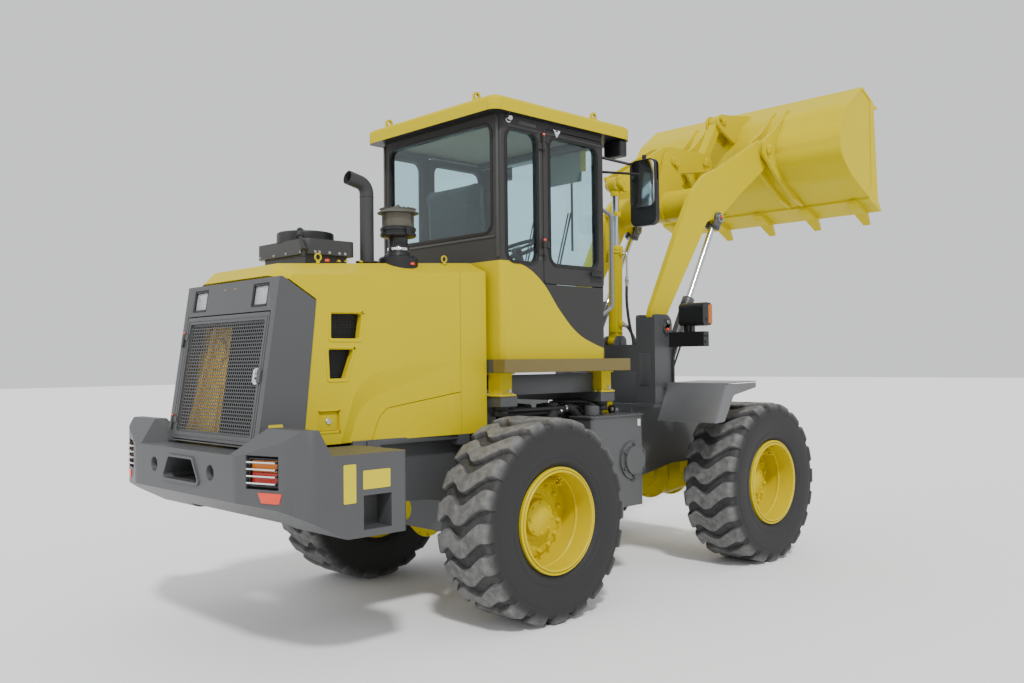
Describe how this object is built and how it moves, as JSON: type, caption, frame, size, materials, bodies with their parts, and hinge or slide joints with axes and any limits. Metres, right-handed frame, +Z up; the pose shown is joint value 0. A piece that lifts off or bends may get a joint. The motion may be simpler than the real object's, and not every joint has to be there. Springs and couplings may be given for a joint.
{
  "type": "compact articulated wheel loader",
  "caption": "Articulated loader with a raised boom, a dumped bucket on a Z-bar linkage, a closed cab and a rear engine hood.",
  "frame": {"origin": "on the ground, under the middle of the machine's overall length and width", "axes": "+X forward to the bucket, +Y to the operator's left, +Z up"},
  "size_m": [5.427, 2, 3.4868],
  "materials": {
    "frame_yellow": "satin",
    "weight_dark_grey": "satin paint",
    "axle_yellow": "satin",
    "engine_grey": "matte",
    "radiator_black": "matte",
    "hood_yellow": "gloss",
    "panel_dark_grey": "satin",
    "mesh_black": "matte",
    "lamp_lens": "clear lens",
    "lamp_body": "satin",
    "exhaust_grey": "matte heat paint",
    "precleaner_plastic": "smoked",
    "tank_olive": "satin",
    "cab_paint": "satin, grey over yellow",
    "window_glass": "clear",
    "plastic_black": "matte",
    "seat_fabric": "woven",
    "mirror_housing": "matte",
    "rail_grey": "satin",
    "frame_grey": "satin",
    "boom_yellow": "satin",
    "bucket_yellow": "satin",
    "rod_chrome": "polished",
    "cylinder_grey": "satin",
    "tyre_rubber": "matte",
    "rim_yellow": "satin"
  },
  "bodies": {
    "rear_chassis": {"rear_frame": "frame_yellow", "counterweight": "weight_dark_grey", "rear_axle": "axle_yellow", "powertrain": "engine_grey", "radiator": "radiator_black", "engine_hood": "hood_yellow", "radiator_housing": "panel_dark_grey", "rear_lamps": "lamp_lens", "cab_lamps": "lamp_body", "exhaust_stack": "exhaust_grey", "air_precleaner": "precleaner_plastic", "condenser": "panel_dark_grey", "hydraulic_tank": "tank_olive", "fuel_tank": "tank_olive", "cab_floor_frame": "frame_yellow", "cab_mounts": "frame_yellow", "running_boards": "tank_olive", "cab_shell": "cab_paint", "cab_roof": "hood_yellow", "cab_glass": "window_glass", "seat_base": "plastic_black", "seat_cushion": "seat_fabric", "seat_backrest": "seat_fabric", "steering_column": "plastic_black", "mirrors": "mirror_housing", "handrails": "rail_grey"},
    "right_door": {"right_door": "cab_paint", "right_door_glass": "window_glass"},
    "left_door": {"left_door": "cab_paint", "left_door_glass": "window_glass"},
    "grille_door": {"grille_door": "panel_dark_grey", "grille_mesh": "mesh_black"},
    "front_chassis": {"front_frame": "frame_grey", "front_axle": "axle_yellow", "front_fenders": "panel_dark_grey", "front_lamps": "lamp_body"},
    "boom": {"boom": "boom_yellow"},
    "bucket": {"bucket": "bucket_yellow", "bucket_teeth": "bucket_yellow"},
    "rocker": {"rocker": "boom_yellow"},
    "bucket_link": {"bucket_link": "boom_yellow"},
    "tilt_barrel": {"tilt_barrel": "boom_yellow"},
    "tilt_rod": {"tilt_rod": "rod_chrome"},
    "lift_barrel_left": {"lift_barrel_left": "cylinder_grey"},
    "lift_rod_left": {"lift_rod_left": "rod_chrome"},
    "steer_barrel_left": {"steer_barrel_left": "cylinder_grey"},
    "steer_rod_left": {"steer_rod_left": "rod_chrome"},
    "rear_left_wheel": {"rear_left_tyre": "tyre_rubber", "rear_left_rim": "rim_yellow"},
    "front_left_wheel": {"front_left_tyre": "tyre_rubber", "front_left_rim": "rim_yellow"},
    "lift_barrel_right": {"lift_barrel_right": "cylinder_grey"},
    "lift_rod_right": {"lift_rod_right": "rod_chrome"},
    "steer_barrel_right": {"steer_barrel_right": "cylinder_grey"},
    "steer_rod_right": {"steer_rod_right": "rod_chrome"},
    "rear_right_wheel": {"rear_right_tyre": "tyre_rubber", "rear_right_rim": "rim_yellow"},
    "front_right_wheel": {"front_right_tyre": "tyre_rubber", "front_right_rim": "rim_yellow"}
  },
  "joints": [
    {"name": "articulation", "type": "hinge", "parent": "rear_chassis", "child": "front_chassis", "pos_m": [-0.0385, 0, 0.67], "axis": [0, 0, 1], "range_deg": [-35, 35]},
    {"name": "boom_lift", "type": "hinge", "parent": "front_chassis", "child": "boom", "pos_m": [0.5235, 0, 1.603], "axis": [0, -1, 0], "range_deg": [-92, 8]},
    {"name": "bucket_tilt", "type": "hinge", "parent": "boom", "child": "bucket", "pos_m": [1.9065, 0, 3.03], "axis": [0, 1, 0], "range_deg": [-125, 12]},
    {"name": "rocker_pivot", "type": "hinge", "parent": "boom", "child": "rocker", "pos_m": [1.1355, 0, 2.874], "axis": [0, -1, 0], "range_deg": [-58.5, 5.8]},
    {"name": "bucket_link_pivot", "type": "hinge", "parent": "bucket", "child": "bucket_link", "pos_m": [1.8595, 0, 3.303], "axis": [0, -1, 0], "range_deg": [-129.7, 12.6]},
    {"name": "tilt_barrel_pivot", "type": "hinge", "parent": "front_chassis", "child": "tilt_barrel", "pos_m": [0.5415, 0, 1.5], "axis": [0, -1, 0], "range_deg": [-91.5, 8.1]},
    {"name": "tilt_rod_slide", "type": "slide", "parent": "tilt_barrel", "child": "tilt_rod", "axis": [0.0175, 0, 0.9998], "range_m": [-0.046, 0.4754]},
    {"name": "lift_barrel_left_pivot", "type": "hinge", "parent": "front_chassis", "child": "lift_barrel_left", "pos_m": [0.5265, 0.38, 1.156], "axis": [0, -1, 0], "range_deg": [-81.8, 7.3]},
    {"name": "lift_rod_left_slide", "type": "slide", "parent": "lift_barrel_left", "child": "lift_rod_left", "axis": [0.499, 0, 0.8666], "range_m": [-0.6114, 0.0535]},
    {"name": "lift_barrel_right_pivot", "type": "hinge", "parent": "front_chassis", "child": "lift_barrel_right", "pos_m": [0.5265, -0.38, 1.156], "axis": [0, -1, 0], "range_deg": [-81.8, 7.3]},
    {"name": "lift_rod_right_slide", "type": "slide", "parent": "lift_barrel_right", "child": "lift_rod_right", "axis": [0.499, 0, 0.8666], "range_m": [-0.6114, 0.0535]},
    {"name": "steer_barrel_left_pivot", "type": "hinge", "parent": "rear_chassis", "child": "steer_barrel_left", "pos_m": [-0.4385, 0.3, 0.65], "axis": [0, 0, 1], "range_deg": [-12.8, 12.8]},
    {"name": "steer_rod_left_slide", "type": "slide", "parent": "steer_barrel_left", "child": "steer_rod_left", "axis": [0.9972, -0.0744, 0], "range_m": [-0.1614, 0.1614]},
    {"name": "steer_barrel_right_pivot", "type": "hinge", "parent": "rear_chassis", "child": "steer_barrel_right", "pos_m": [-0.4385, -0.3, 0.65], "axis": [0, 0, 1], "range_deg": [-12.8, 12.8]},
    {"name": "steer_rod_right_slide", "type": "slide", "parent": "steer_barrel_right", "child": "steer_rod_right", "axis": [0.9972, 0.0744, 0], "range_m": [-0.1614, 0.1614]},
    {"name": "right_door_hinge", "type": "hinge", "parent": "rear_chassis", "child": "right_door", "pos_m": [-0.7585, -0.559, 2.2], "axis": [0, 0, -1], "range_deg": [0, 165]},
    {"name": "left_door_hinge", "type": "hinge", "parent": "rear_chassis", "child": "left_door", "pos_m": [-0.7585, 0.559, 2.2], "axis": [0, 0, 1], "range_deg": [0, 165]},
    {"name": "grille_door_hinge", "type": "hinge", "parent": "rear_chassis", "child": "grille_door", "pos_m": [-2.56941, 0.433, 0.98621], "axis": [-0.1513, 0, -0.9885], "range_deg": [0, 90]},
    {"name": "rear_left_wheel_spin", "type": "hinge", "parent": "rear_chassis", "child": "rear_left_wheel", "pos_m": [-1.0985, 0.785, 0.5375], "axis": [0, 1, 0], "continuous": true},
    {"name": "rear_right_wheel_spin", "type": "hinge", "parent": "rear_chassis", "child": "rear_right_wheel", "pos_m": [-1.0985, -0.785, 0.5375], "axis": [0, 1, 0], "continuous": true},
    {"name": "front_left_wheel_spin", "type": "hinge", "parent": "front_chassis", "child": "front_left_wheel", "pos_m": [1.0245, 0.785, 0.5375], "axis": [0, 1, 0], "continuous": true},
    {"name": "front_right_wheel_spin", "type": "hinge", "parent": "front_chassis", "child": "front_right_wheel", "pos_m": [1.0245, -0.785, 0.5375], "axis": [0, 1, 0], "continuous": true}
  ],
  "couplings": [
    {"joint": "rocker_pivot", "follows": "bucket_tilt", "ratio": 0.4664},
    {"joint": "bucket_link_pivot", "follows": "bucket_tilt", "ratio": 1.0362},
    {"joint": "tilt_barrel_pivot", "follows": "boom_lift", "ratio": 0.992},
    {"joint": "tilt_rod_slide", "follows": "bucket_tilt", "m_per_rad": -0.21772},
    {"joint": "lift_barrel_left_pivot", "follows": "boom_lift", "ratio": 0.887},
    {"joint": "lift_rod_left_slide", "follows": "boom_lift", "m_per_rad": 0.3805},
    {"joint": "lift_barrel_right_pivot", "follows": "boom_lift", "ratio": 0.887},
    {"joint": "lift_rod_right_slide", "follows": "boom_lift", "m_per_rad": 0.3805},
    {"joint": "steer_barrel_left_pivot", "follows": "articulation", "ratio": 0.36},
    {"joint": "steer_rod_left_slide", "follows": "articulation", "m_per_rad": -0.2636},
    {"joint": "steer_barrel_right_pivot", "follows": "articulation", "ratio": 0.36},
    {"joint": "steer_rod_right_slide", "follows": "articulation", "m_per_rad": 0.2636}
  ]
}
